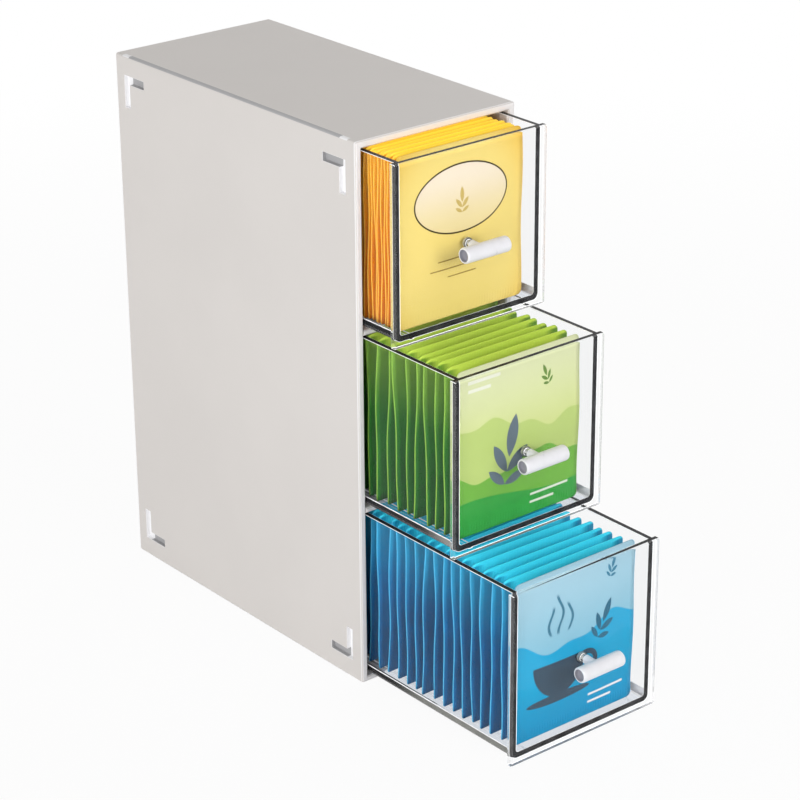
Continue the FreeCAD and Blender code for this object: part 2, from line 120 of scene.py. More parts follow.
# The dark lines painted in the clear plastic as its shade and dark reflection: their distance
# inside its outer face, the depth of the joint behind the front and of the lines along the
# floor, the top of those lines above the tray's underside with the height of their pale rim, a
# painted highlight, the turn they make round the lower corner, and where along Y each drawer's
# line passes from pale to dark, painted shade that deepens towards the case.
LINE_INSET = 0.15 * MM
JOINT_DEPTH, LINE_DEPTH = 0.25 * MM, 0.2 * MM
LINE_TOP, LINE_RIM = 4.95 * MM, 0.45 * MM
LINE_TURN = math.radians(52)
FLOOR_LINES = {"bottom": (-0.128, -0.096), "middle": (-0.142, -0.112), "top": (-0.21, -0.17)}

# A handle: how far the rounding of its bar's ends goes along the bar, the radius of the flat
# ring on each end, the radius and depth of the recess in the ring, the rounding of the recess's
# mouth, and the stem's radius with its flare at the foot.
END_REACH = 1.2 * MM
RING = 3.1 * MM
DISH, DISH_DEPTH = 2.7 * MM, 1.7 * MM
LIP = 0.25 * MM
STEM, STEM_FLARE = 1.9 * MM, 0.2 * MM

# A screw: its head's radius as a share of the node's width, the depth of the head, the reach,
# half width and depth of the cross in it, as shares of the head's, the shank's radius, and the
# threads' rows and their depth as a share of that radius.
HEAD_SHARE = 0.42
HEAD_DEPTH = 1.8 * MM
CROSS_REACH, CROSS_HALF, CROSS_DEPTH = 0.62, 0.16, 0.5
SHANK = 1.5 * MM
THREAD_ROWS, THREAD_DEPTH = 26, 0.12

# The floor lies just below the box. Each lamp: azimuth, elevation, distance, size and power.
FLOOR_LEVEL, FLOOR_REACH = -0.2 * MM, 6.0
WORLD_COLOUR, WORLD_STRENGTH = (1.0, 0.985, 0.965, 1.0), 0.44
LAMP_AIM = (0, -0.05, 0.12)
LAMPS = {
    "key_lamp": (-66, 9, 1.6, 1.0, 13.5),
    "front_lamp": (8, 24, 1.8, 0.9, 10.0),
    "rim_lamp": (110, 20, 1.8, 0.9, 6.5),
}

# The camera: its turn about the case, its height, its roll, its lens, and what it looks at.
CAMERA_AZIMUTH = -39.27
CAMERA_ELEVATION = 23.46
CAMERA_ROLL = 0.42
CAMERA_LENS = 120.1
CAMERA_AIM = (16.9 * MM, -42.9 * MM, 108.7 * MM)
CAMERA_DISTANCE = 1.249


# ---------------------------------------------------------------- shader maths

class Value:
    """A number socket of a finish; arithmetic on it adds Math nodes."""

    def __init__(self, finish, socket):
        self.finish, self.socket = finish, socket

    def math(self, operation, *others):
        """A Math node on this value and the others."""
        return self.finish.maths(operation, self, *others)

    def __add__(self, other):
        return self.math("ADD", other)

    def __sub__(self, other):
        return self.math("SUBTRACT", other)

    def __rsub__(self, other):
        return self.finish.maths("SUBTRACT", other, self)

    def __mul__(self, other):
        return self.math("MULTIPLY", other)

    __radd__ = __add__
    __rmul__ = __mul__

    def clamped(self):
        """The value held between 0 and 1."""
        return self.finish.maths("ADD", self, 0.0, clamp=True)

    def ramp(self, low, high):
        """0 at low, 1 at high and smooth between them; low may be the larger one."""
        node = self.finish.node(
            "ShaderNodeMapRange", {"interpolation_type": "SMOOTHSTEP"},
            {0: self, 1: low, 2: high, 3: 0.0, 4: 1.0})
        return Value(self.finish, node.outputs[0])

    def wave(self, turns, shift=0.0):
        """Sine of the value times 2 pi turns, plus a shift in turns."""
        return (self * (2 * math.pi * turns) + 2 * math.pi * shift).math("SINE")


class Finish:
    """A material or world being built: one method adds nodes, the others are short forms of it."""

    def __init__(self, name, shelf=None):
        self.result = (bpy.data.materials if shelf is None else shelf).new(name)
        self.result.use_nodes = True
        self.tree = self.result.node_tree
        self.tree.nodes.clear()

    def node(self, kind, settings=None, sockets=None):
        """A node of a kind: settings first, then the values or links of its sockets."""
        node = self.tree.nodes.new(kind)
        for name, setting in (settings or {}).items():
            setattr(node, name, setting)
        for key, value in (sockets or {}).items():
            socket = node.inputs[key]
            if isinstance(value, Value):
                value = value.socket
            if isinstance(value, bpy.types.NodeSocket):
                self.tree.links.new(value, socket)
            else:
                socket.default_value = value
        return node

    def maths(self, operation, *terms, clamp=False):
        """A Math node on values and numbers."""
        node = self.node("ShaderNodeMath", {"operation": operation, "use_clamp": clamp},
                         dict(enumerate(terms)))
        return Value(self, node.outputs[0])

    def place(self):
        """The object's own coordinates, as a vector socket."""
        return self.node("ShaderNodeTexCoord").outputs["Object"]

    def axes(self):
        """The object's own x, y and z, as three values in metres."""
        parts = self.node("ShaderNodeSeparateXYZ", None, {0: self.place()})
        return [Value(self, parts.outputs[i]) for i in range(3)]

    def sheet_place(self):
        """The piece's own UV map, as two values."""
        uv = self.node("ShaderNodeTexCoord").outputs["UV"]
        parts = self.node("ShaderNodeSeparateXYZ", None, {0: uv})
        return [Value(self, parts.outputs[i]) for i in range(2)]

    def noise(self, scale, detail=2.0, stretch=(1.0, 1.0, 1.0)):
        """Noise over the object's own coordinates, from 0 to 1."""
        mapped = self.node("ShaderNodeMapping", None, {"Vector": self.place(), "Scale": stretch})
        node = self.node("ShaderNodeTexNoise", None,
                         {"Vector": mapped.outputs[0], "Scale": scale, "Detail": detail})
        return Value(self, node.outputs[0])

    def attribute(self, name):
        """A number that the mesh carries for each point."""
        node = self.node("ShaderNodeAttribute", {"attribute_name": name})
        return Value(self, node.outputs["Fac"])

    def mix(self, factor, first, second):
        """A colour between two colours."""
        node = self.node("ShaderNodeMix", {"data_type": "RGBA"}, {0: factor, 6: first, 7: second})
        return node.outputs[2]

    def mottle(self, noise, first, second):
        """Two near tones in soft patches that follow a noise."""
        return self.mix(noise.ramp(0.3, 0.7), first, second)

    def bump(self, height, strength, distance):
        """A normal from a height value."""
        node = self.node("ShaderNodeBump", None,
                         {"Strength": strength, "Distance": distance, "Height": height})
        return node.outputs[0]

    def shader(self, **sockets):
        """A Principled shader; words in a socket's name are joined by underscores here."""
        named = {key.replace("_", " "): value for key, value in sockets.items()}
        return self.node("ShaderNodeBsdfPrincipled", None, named).outputs[0]

    def light(self, kind, colour, strength):
        """An emission or a background of a colour and a strength."""
        return self.node(kind, None, {"Color": colour, "Strength": strength}).outputs[0]

    def layered(self, factor, first, second):
        """A shader between two shaders."""
        return self.node("ShaderNodeMixShader", None, {0: factor, 1: first, 2: second}).outputs[0]

    def done(self, surface, output="ShaderNodeOutputMaterial"):
        """Sends a shader to the output and gives the material or world."""
        self.node(output, None, {"Surface": surface})
        return self.result


def linear(code):
    """A display colour such as F6DE8E as linear red, green, blue and alpha."""
    channels = [int(code[i:i + 2], 16) / 255 for i in (0, 2, 4)]
    curve = [c / 12.92 if c <= 0.04045 else ((c + 0.055) / 1.055) ** 2.4 for c in channels]
    return (*curve, 1.0)


def shade(colour, factor):
    """A colour made darker or lighter by a factor."""
    return tuple(c * factor for c in colour[:3]) + (1.0,)


def ink(code):
    """A printed colour, a little deeper than it looks behind the bright clear front."""
    return shade(linear(code), 0.64)


# ---------------------------------------------------------------- materials

def case_finish(name, colour, lift=(1.0, 1.0, 1.0)):
    """Satin moulded plastic: a fine grain, a soft unevenness of gloss and faint cloudiness.

    The lift multiplies the colour's red, green and blue, as painted light. In the link slots the
    upright legs are painted pale as a highlight, the level ones grey as shade.
    """
    f = Finish(name)
    cloud = f.noise(14.0, 3.0)
    grain = f.noise(1600.0)
    base = tuple(c * k for c, k in zip(colour, lift)) + (1.0,)
    plain = f.mottle(cloud, shade(base, 0.97), base)
    x, y, z = f.axes()
    y, z = y.math("ABSOLUTE"), (z - CASE_MIDDLE).math("ABSOLUTE")
    # Painted light in the link slots: a pale highlight on the upright legs, grey shade on the level
    # ones.
    slot = x.ramp(*SLOT_MOUTH) * x.ramp(*SLOT_BOTTOM) * y.ramp(*SLOT_REACH) * z.ramp(*SLOT_RISE)
    level_leg_painted_shade = z.ramp(*LEVEL_RISE) * y.ramp(*LEVEL_REACH)
    inside = f.mix(level_leg_painted_shade, linear("FDFDFF"), linear("B8B8BA"))
    return f.done(f.shader(Base_Color=f.mix(slot, plain, inside), Roughness=0.36 + cloud * 0.12,
                           Specular_IOR_Level=SATIN, Normal=f.bump(grain, 0.25, 0.03 * MM)))


def clear_plastic(name, colour, share, roughness, shadow):
    """Clear polystyrene that lets the light of lamps through, tinted for its place on a drawer, in
    places dark as painted shade and dark reflection.
    """
    f = Finish(name)
    haze = f.noise(60.0, 3.0, stretch=(1.0, 1.0, 0.25))
    body = f.shader(Base_Color=(*colour, 1.0), Roughness=haze.ramp(0.45, 0.9) * 0.03 + roughness,
                    IOR=CLEAR_IOR, Transmission_Weight=share)
    lamp_ray = f.node("ShaderNodeLightPath").outputs["Is Shadow Ray"]
    clear = f.node("ShaderNodeBsdfTransparent", None, {"Color": shade(WHITE, shadow)}).outputs[0]
    return f.done(f.layered(lamp_ray, body, clear))


def painted_edge_highlight():
    """The softened edges of clear walls: a painted highlight, bright and glowing, with fine
    polishing marks.
    """
    f = Finish("clear_edges")
    marks = f.noise(900.0)
    colour = f.mix(marks.ramp(0.35, 0.65), (0.88, 0.89, 0.90, 1.0), (0.98, 0.98, 0.98, 1.0))
    return f.done(f.shader(Base_Color=colour, Roughness=marks * 0.15 + 0.2,
                           Emission_Color=(0.95, 0.97, 1.0, 1.0), Emission_Strength=0.22,
                           Normal=f.bump(marks, 0.2, 0.05 * MM)))


def clear_finishes():
    """A drawer's finishes, in the order of CLEAR."""
    return [clear_plastic(f"clear_{place}", *look) if look else painted_edge_highlight()
            for place, look in CLEAR.items()]


def joint_finish(name, first, second, specular):
    """A painted line in the clear plastic, in soft patches of two display colours: dark ones for
    shade, pale ones for highlight.
    """
    f = Finish(name)
    cloud = f.noise(180.0, 3.0)
    return f.done(f.shader(Base_Color=f.mottle(cloud, linear(first), linear(second)),
                           Roughness=cloud * 0.2 + 0.4, Specular_IOR_Level=specular))


def floor_line_painted_shade(name, pale_until, dark_from):
    """The line along a drawer's floor, painted shade: pale by the front, near black towards the
    case where its shade falls, and faintly streaked. It darkens from one place along Y to another."""
    f = Finish(name)
    _, y, _ = f.axes()
    streak = f.noise(140.0, 3.0, stretch=(1.0, 0.15, 1.0))
    pale = f.mottle(streak, linear("70706C"), linear("92928D"))
    dark = f.mottle(streak, linear("101012"), linear("222224"))
    colour = f.mix((y + streak * 0.02).ramp(pale_until, dark_from), pale, dark)
    return f.done(f.shader(Base_Color=colour, Roughness=streak * 0.2 + 0.5,
                           Specular_IOR_Level=0.05))


def handle_finish(colour):
    """Glossy white plastic with a faint cool cast and soft sink marks."""
    f = Finish("handle_plastic")
    cloud = f.noise(220.0)
    base = (*colour, 1.0)
    return f.done(f.shader(Base_Color=f.mottle(cloud, shade(base, 0.96), base),
                           Roughness=0.24 + cloud * 0.1, Normal=f.bump(cloud, 0.15, 0.1 * MM)))


def recess_painted_shade_finish():
    """The grey inside of the recess in each end of a handle, painted shade."""
    f = Finish("handle_recess_painted_shade")
    cloud = f.noise(400.0)
    return f.done(f.shader(Base_Color=f.mix(cloud, linear("82828C"), linear("A2A2AC")),
                           Roughness=cloud * 0.2 + 0.4))


def steel_finish():
    """Zinc-bright steel with turning marks."""
    f = Finish("screw_steel")
    marks = f.noise(2500.0)
    return f.done(f.shader(Base_Color=f.mix(marks, linear("9C9C9A"), linear("BCBCBA")),
                           Metallic=0.5, Roughness=0.3 + marks * 0.15))


# The display colours of each paper: at the foot, at the sealed top, where painted light falls, at
# the sealed sides, a painted highlight, and in the middle, and the strength of the painted glow
# at the sealed top.
PAPERS = {
    "blue": {"low": "005082", "high": "47E7FF", "edge": "4CB8E4", "inner": "0076B4",
             "glow": 0.04},
    "green": {"low": "1A6420", "high": "CDE85C", "edge": "94C048", "inner": "368428",
              "glow": 0.03},
    "yellow": {"low": "D06C00", "high": "FFDC4C", "edge": "FFC850", "inner": "E08A00",
               "glow": 0.24},
}
# The strength of the painted glow at the top of a sachet's printed front.
FRONT_PAINTED_GLOW = 0.27


def sealed_sides(u):
    """1 on the sealed margin at either side of a sachet, from its UV map."""
    return u.ramp(0.008, 0.002) + u.ramp(0.992, 0.998)


def paper_look(f, u, v, colour, rough_from, glowing, glow):
    """Laminated paper of a colour: satin, crimped in bands at its ends and softly creased, with a
    painted glow of a colour and a strength.
    """
    crimps = u.wave(46.0) * 0.5 + 0.5
    ends = v.ramp(0.07, 0.055) + v.ramp(0.93, 0.945)
    creases = f.noise(90.0, 4.0, stretch=(1.0, 1.0, 0.45))
    return f.done(f.shader(Base_Color=colour, Roughness=f.noise(45.0, 3.0) * 0.16 + rough_from,
                           Specular_IOR_Level=SATIN,
                           Emission_Color=glowing, Emission_Strength=glow,
                           Normal=f.bump(crimps * ends * 0.3 + creases, 0.45, 0.5 * MM)))


def sachet_finish(flavour):
    """The plain sides of a sachet: printed laminate, darker towards its foot; painted light makes
    it lighter towards its top and gives its sealed top a bright colour and a glow, and a painted
    highlight makes it paler along its sealed margin.
    """
    f = Finish(f"sachet_{flavour}")
    paper = PAPERS[flavour]
    low, high, edge, inner = (linear(paper[name]) for name in ("low", "high", "edge", "inner"))
    u, v = f.sheet_place()
    cloud = f.noise(45.0, 3.0)
    colour = f.mix(v.ramp(0.2, 0.8) * 0.5 + cloud.ramp(0.3, 0.7) * 0.4, low, inner)
    colour = f.mix(f.attribute("tint") * 0.35, colour, shade(low, 0.75))
    # Lighter towards the top: painted light.
    colour = f.mix(v.ramp(0.5, 0.95) * 0.22, colour, high)
    # The sealed top takes the bright top colour and a glow: painted light.
    inboard = u.ramp(0.02, 0.12) * u.ramp(0.98, 0.88)
    top = any_of(v.ramp(0.90, 0.955) * inboard, v.ramp(0.975, 0.99))
    # The paler sealed sides are a painted highlight.
    colour = f.mix(sealed_sides(u) * 0.7, f.mix(top, colour, high), edge)
    return paper_look(f, u, v, colour, 0.34, f.mix(top, BLACK, high), paper["glow"])


def any_of(*masks):
    """1 where any of the masks is 1."""
    total = masks[0]
    for mask in masks[1:]:
        total = total + mask
    return total.clamped()


def disc(u, v, centre, radii, soft=0.03):
    """1 inside an ellipse on the UV map, 0 outside."""
    x, y = (u - centre[0]) * (1 / radii[0]), (v - centre[1]) * (1 / radii[1])
    return (x * x + y * y).ramp(1.0 + soft, 1.0 - soft)


def leaf(u, v, centre, length, width, turn):
    """1 inside a pointed leaf, the overlap of two discs."""
    angle = math.radians(turn)
    side = (-math.sin(angle), math.cos(angle))
    radius = (length * length + width * width) / (4 * width)
    offset = radius - width / 2
    discs = [disc(u, v, (centre[0] + s * side[0] * offset, centre[1] + s * side[1] * offset),
                  (radius, radius), 0.015) for s in (-1, 1)]
    return discs[0] * discs[1]


def sprig(u, v, foot, size, turn):
    """A tea sprig: a bud between two pairs of leaves, on a foot point.

    Each leaf's row gives how far up the stem it grows, its length, and its lean in degrees.
    """
    masks = []
    stem = math.radians(turn)
    for reach, length, lean in ((1.05, 0.75, 0), (0.62, 0.62, 42), (0.62, 0.62, -42),
                                (0.25, 0.5, 62), (0.25, 0.5, -62)):
        angle = math.radians(turn + lean)
        up, out = size * reach * 0.6, size * length * 0.5
        centre = (foot[0] + up * math.cos(stem) + out * math.cos(angle),
                  foot[1] + up * math.sin(stem) + out * math.sin(angle))
        masks.append(leaf(u, v, centre, size * length, size * length * 0.34, turn + lean))
    return any_of(*masks)


def hill(u, v, level, swings):
    """1 below a rolling skyline made of sines, each with its height, turns and shift."""
    skyline = level
    for height, turns, shift in swings:
        skyline = u.wave(turns, shift) * height + skyline
    return (skyline - v).ramp(-0.004, 0.004)


def cup(u, v, centre, size):
    """A cup in side view with its ear and saucer."""
    x, y = centre
    brim = y + 0.3 * size
    bowl = disc(u, v, (x, brim), (0.8 * size, 0.85 * size)) * (v - brim).ramp(0.004, -0.004)
    ear = disc(u, v, (x + 0.85 * size, y + 0.02 * size), (0.36 * size, 0.3 * size))
    hole = disc(u, v, (x + 0.87 * size, y + 0.03 * size), (0.2 * size, 0.16 * size))
    saucer = disc(u, v, (x, y - 0.60 * size), (1.0 * size, 0.11 * size))
    return any_of(bowl, ear * (1 - hole), saucer)


def rules(u, v, left, levels, reaches, thick):
    """Plain bars, one under another, each from the left to its own reach."""
    bars = []
    for level, reach in zip(levels, reaches):
        across = u.ramp(left - 0.003, left + 0.003) * u.ramp(reach + 0.003, reach - 0.003)
        bars.append(across * (v - level).math("ABSOLUTE").ramp(thick, thick * 0.6))
    return any_of(*bars)


def steam(u, v, centre, size):
    """Three thin rising curls."""
    masks = []
    for step in (-1, 0, 1):
        bent = u - v.wave(4.4, 0.2 * step) * (0.08 * size) - (centre[0] + 0.3 * size * step)
        line = bent.math("ABSOLUTE").ramp(0.05 * size, 0.03 * size)
        top = centre[1] + size * (1.0 - 0.25 * abs(step))
        masks.append(line * v.ramp(centre[1], centre[1] + 0.03) * v.ramp(top, top - 0.12 * size))
    return any_of(*masks)


def printed(f, ground, *layers):
    """A ground colour with layers printed on it in turn, each a mask and its colour."""
    for mask, colour in layers:
        ground = f.mix(mask, ground, colour)
    return ground


def blue_front(f, u, v):
    """Pale sky over blue hills, a slate cup and its steam."""
    sky = f.mix(v.ramp(0.35, 1.0), ink("8CCBE4"), ink("AFD8EA"))
    near = f.mix(v.ramp(0.0, 0.4), ink("009ACE"), ink("04AEDE"))
    return printed(
        f, sky,
        (hill(u, v, 0.56, ((0.05, 1.1, 0.35), (0.02, 2.7, 0.1))), ink("24B2E2")),
        (hill(u, v, 0.40, ((0.06, 0.8, 0.62), (0.015, 3.1, 0.4))), near),
        (steam(u, v, (0.36, 0.60), 0.26), ink("3F7F9A")),
        (cup(u, v, (0.36, 0.36), 0.26), ink("3F5568")),
        (rules(u, v, 0.62, (0.13, 0.08), (0.92, 0.82), 0.009), ink("F4F8FA")),
        (sprig(u, v, (0.66, 0.46), 0.2, 62), ink("2F6F8C")),
        (sprig(u, v, (0.78, 0.82), 0.1, 70), ink("3C88A8")))


def green_front(f, u, v):
    """Pale sky over rows of green hills, with a slate sprig."""
    sky = f.mix(v.ramp(0.4, 1.0), ink("DEEA94"), ink("E6ECBC"))
    return printed(
        f, sky,
        (hill(u, v, 0.60, ((0.06, 0.9, 0.05), (0.02, 3.3, 0.3))), ink("C6DC80")),
        (hill(u, v, 0.36, ((0.05, 1.2, 0.5), (0.012, 4.1, 0.2))), ink("7CC04A")),
        (hill(u, v, 0.17, ((0.04, 0.7, 0.15),)), ink("3FAE49")),
        (sprig(u, v, (0.36, 0.20), 0.34, 78), ink("6A7A86")),
        (rules(u, v, 0.60, (0.12, 0.07), (0.92, 0.80), 0.009), ink("F2F8E8")),
        (rules(u, v, 0.08, (0.92, 0.87), (0.34, 0.26), 0.012), ink("F8FAE8")),
        (sprig(u, v, (0.74, 0.76), 0.1, 110), ink("6E9440")))


def short_rule(u, v, level, reach):
    """A thin bar about the middle of a sachet, to the reach on either side."""
    thin = (v - level).math("ABSOLUTE").ramp(0.0045, 0.003)
    return thin * (u - 0.5).math("ABSOLUTE").ramp(reach, reach - 0.01)


def yellow_front(f, u, v):
    """Soft yellow with a cream badge in a dark gold line, a sprig on it, and short rules below."""
    middle = disc(u, v, (0.47, 0.42), (0.64, 0.76), 0.6)
    cream = f.mix(v.ramp(0.5, 0.85), ink("FAE6A8"), ink("FFF0D8"))
    bars = [(short_rule(u, v, level, reach), ink("A88A3C"))
            for level, reach in ((0.34, 0.2), (0.29, 0.26), (0.24, 0.12))]
    return printed(
        f, f.mix(middle, ink("FFC424"), ink("FFE585")),
        (disc(u, v, (0.5, 0.68), (0.37, 0.20), 0.012), ink("3E3010")),
        (disc(u, v, (0.5, 0.68), (0.36, 0.1905), 0.012), cream),
        (sprig(u, v, (0.5, 0.58), 0.12, 90), ink("D8BC6A")),
        *bars)


FRONTS = {"blue": blue_front, "green": green_front, "yellow": yellow_front}


def front_finish(flavour):
    """The printed front of a sachet, with a painted highlight along its sealed sides and a painted
    glow of its own colour at its top.
    """
    f = Finish(f"sachet_front_{flavour}")
    u, v = f.sheet_place()
    edge = linear(PAPERS[flavour]["edge"])
    # Paler sealed sides: a painted highlight. The glow at the top is painted light.
    colour = f.mix(sealed_sides(u) * 0.35, FRONTS[flavour](f, u, v), edge)
    return paper_look(f, u, v, colour, 0.3, f.mix(v.ramp(0.93, 0.95), BLACK, colour), FRONT_PAINTED_GLOW)


# ---------------------------------------------------------------- meshes

def added(name, data):
    """A new object of some data, linked into the scene."""
    thing = bpy.data.objects.new(name, data)
    bpy.context.scene.collection.objects.link(thing)
    return thing


def new_piece(name, points, faces, finish, smooth=True):
    """A mesh object at the origin, from arrays of points and of corner indices."""
    mesh = bpy.data.meshes.new(name)
    mesh.from_pydata(points.tolist(), [], faces.tolist())
    mesh.polygons.foreach_set("use_smooth", np.full(len(faces), smooth))
    mesh.materials.append(finish)
    return added(name, mesh)


def softened_copy(node, name, width):
    """A copy of a node with its coplanar triangles joined and its edges rounded by the width.

    The rounded edges take the finish in the second slot.
    """
    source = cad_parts[node]
    mesh = source.data.copy()
    mesh.name = name
    mesh.transform(source.matrix_world)
    shape = bmesh.new()
    shape.from_mesh(mesh)
    bmesh.ops.remove_doubles(shape, verts=shape.verts, dist=2e-6)
    bmesh.ops.dissolve_limit(shape, angle_limit=math.radians(0.5), verts=shape.verts,
                             edges=shape.edges)
    shape.to_mesh(mesh)
    shape.free()
    mesh.polygons.foreach_set("use_smooth", np.full(len(mesh.polygons), True))
    piece = added(name, mesh)
    bevel = piece.modifiers.new("edges", "BEVEL")
    bevel.width = width
    bevel.segments = 2
    bevel.limit_method = "ANGLE"
    bevel.angle_limit = math.radians(35)
    bevel.harden_normals = True
    bevel.material = 1
    mesh.set_sharp_from_angle(angle=math.radians(30))
    return piece


def face_places(piece):
    """The normals and the centres of a piece's faces, as two arrays of rows x, y and z."""
    faces = piece.data.polygons
    normal, centre = np.empty(len(faces) * 3), np.empty(len(faces) * 3)
    faces.foreach_get("normal", normal)
    faces.foreach_get("center", centre)
    return normal.reshape(-1, 3), centre.reshape(-1, 3)


def sort_faces(piece, finishes, index):
    """Gives a piece its finishes, and each face the one that its index names."""
    piece.data.materials.clear()
    for finish in finishes:
        piece.data.materials.append(finish)
    piece.data.polygons.foreach_set("material_index", index.astype(np.int32))


def settle(piece, body, slot, *nodes):
    """The piece rides on a body and stands for nodes, which it hides; the slot is not used."""
    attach(piece, body)
    if nodes:
        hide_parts(*nodes)


def turned(profile, sides):
    """A profile of (along, radius) rows turned about the first axis.

    Where the profile starts or ends with radius 0, the shell is closed there.
    """
    turn = np.arange(sides) * 2 * np.pi / sides
    along = np.repeat(profile[:, 0], sides)
    radius = np.repeat(profile[:, 1], sides)
    spin = np.tile(turn, len(profile))
    points = np.stack([along, radius * np.cos(spin), radius * np.sin(spin)], axis=1)
    ring = np.arange(sides)
    ahead = (ring + 1) % sides
    rows = np.arange(len(profile) - 1)[:, None] * sides
    quads = np.stack([rows + ring, rows + ahead, rows + sides + ahead, rows + sides + ring], axis=2)
    return points, quads.reshape(-1, 4)


def grid_quads(rows, columns):
    """The indices of a grid's points, and its quads."""
    index = np.arange(rows * columns).reshape(rows, columns)
    corners = [index[:-1, :-1], index[1:, :-1], index[1:, 1:], index[:-1, 1:]]
    return index, np.stack(corners, axis=2).reshape(-1, 4)


def closed_pair(front, back):
    """Two like grids of points as one closed shell, joined round their border."""
    index, quads = grid_quads(*front.shape[:2])
    border = np.concatenate([index[:, 0], index[-1, 1:], index[-2::-1, -1], index[0, -2:0:-1]])
    ahead = np.roll(border, -1)
    rim = np.stack([border, border + index.size, ahead + index.size, ahead], axis=1)
    points = np.concatenate([front.reshape(-1, 3), back.reshape(-1, 3)])
    return points, np.concatenate([quads, rim, quads[:, ::-1] + index.size])


def joined(parts):
    """Several (points, quads) shells as one pair of arrays."""
    points, faces, count = [], [], 0
    for shell_points, shell_faces in parts:
        points.append(shell_points)
        faces.append(shell_faces + count)
        count += len(shell_points)
    return np.concatenate(points), np.concatenate(faces)


def cleaned(piece):
    """Joins coincident points, so that poles and seams are closed, and turns faces outwards."""
    shape = bmesh.new()
    shape.from_mesh(piece.data)
    bmesh.ops.remove_doubles(shape, verts=shape.verts, dist=1e-7)
    bmesh.ops.recalc_face_normals(shape, faces=shape.faces)
    shape.to_mesh(piece.data)
    shape.free()
    return piece


# ---------------------------------------------------------------- shapes of the pieces

def u_path(half, top, radius, steps=10):
    """A U as rows of x and z: down one side, round two corners, up the other."""
    turn = np.linspace(0, np.pi / 2, steps)
    corner = np.stack([-half + radius - radius * np.cos(turn), radius - radius * np.sin(turn)],
                      axis=1)
    left = np.concatenate([[(-half, top)], corner])
    return np.concatenate([left, left[::-1] * (-1, 1)])


def front_joint(low, high):
    """The joint behind a drawer's front, a dark line painted as the clear walls' shade and dark
    reflection, as a closed shell.

    Its outer line is a U with rounded lower corners, its inner line is a like U a wall's
    thickness in, and the joint is the ruled surface between the two, given a small depth.
    """
    base = low.z + TRAY_RISE
    top = high.z - base - 0.1 * MM
    outer = u_path(TRAY_HALF - LINE_INSET, top, TRAY_BEND) + (0, base)
    inner = u_path(TRAY_HALF - TRAY_WALL + 0.1 * MM, top - TRAY_WALL, 1.5 * MM)
    inner = inner + (0, base + TRAY_WALL)
    strip = outer + (inner - outer) * np.linspace(0, 1, 4)[:, None, None]
    sheet = np.insert(strip, 1, low.y + FRONT_DEPTH, axis=2)
    return closed_pair(sheet, sheet + (0, JOINT_DEPTH, 0))


def floor_lines(low, high):
    """The lines painted as shade along both sides of a drawer's floor, as two closed shells.

    Each is a profile carried along Y inside a side wall, given a small depth inwards. The
    profile goes straight down and then round the lower corner: x = c + r cos(t), z = b - r
    sin(t), about the corner's centre (c, b), with r the tray's bend less the inset.
    """
    turn = np.linspace(0, LINE_TURN, 7)
    radius = TRAY_BEND - LINE_INSET
    across = np.concatenate([[TRAY_HALF - LINE_INSET] * 2,
                             TRAY_HALF - TRAY_BEND + radius * np.cos(turn)])
    height = np.concatenate([[LINE_TOP, LINE_TOP - LINE_RIM], TRAY_BEND - radius * np.sin(turn)])
    along = np.linspace(low.y + FRONT_DEPTH + 0.4 * MM, high.y - 1.0 * MM, 12)
    y, x = np.meshgrid(along, across, indexing="ij")
    z = np.broadcast_to(height + low.z + TRAY_RISE, y.shape)
    sheets = [(side, np.stack([side * x, y, z], axis=2)) for side in (-1, 1)]
    return [closed_pair(sheet, sheet - (side * LINE_DEPTH, 0, 0)) for side, sheet in sheets]


def add_seam(name, low, high, finishes):
    """The joint of a clear drawer's front and the lines along its floor, painted as shade and dark
    reflection, as one piece.

    The finishes are for the joint and for the lines' outward faces, both painted shade, and for
    their rims and their inner faces, a painted highlight.
    """
    points, faces = joined([front_joint(low, high), *floor_lines(low, high)])
    piece = cleaned(new_piece(name, points, faces, finishes[0], smooth=False))
    normal, centre = face_places(piece)
    outward = normal[:, 0] * np.sign(centre[:, 0]) > 0.1
    below_rim = centre[:, 2] < low.z + TRAY_RISE + LINE_TOP - LINE_RIM
    in_joint = centre[:, 1] < low.y + FRONT_DEPTH + JOINT_DEPTH + 0.1 * MM
    sort_faces(piece, finishes, np.where(in_joint, 0, np.where(outward & below_rim, 1, 2)))
    return piece


def clear_places(piece, low, high):
    """The place in CLEAR of each face of a drawer, by where it lies and which way it faces."""
    (nx, ny, nz), (x, y, z) = [rows.T for rows in face_places(piece)]
    front = y < low.y + FRONT_DEPTH + 0.2 * MM
    border = (np.abs(x) > high.x - FRONT_BORDER) | (z < low.z + FRONT_BORDER)
    top = (nz > 0.5) & (z > low.z + TOPS_ABOVE)
    screw_hole = front & (np.abs(x) < HOLE_HALF) & (np.abs(ny) < 0.5) & ~border & ~top
    # The lower corners, wall tops and front foot take dark finishes painted as shade and dark
    # reflection. The floor takes a tint painted as shade.
    places = {
        "plastic": screw_hole,
        "lower_corners_painted_dark": ~front & (nz < -0.15) & (np.abs(nx) > 0.15),
        "front_top": front & top,
        "front_foot_painted_dark": front & border & (nz < -STRAIGHT),
        "front_ends": front & border,
        "wall_tops_painted_dark": top,
        "floor": ~front & (np.abs(nz) > STRAIGHT) & (z < low.z + FLOOR_BELOW),
    }
    order = list(CLEAR)
    return np.select(list(places.values()), [order.index(place) for place in places],
                     order.index("plastic"))


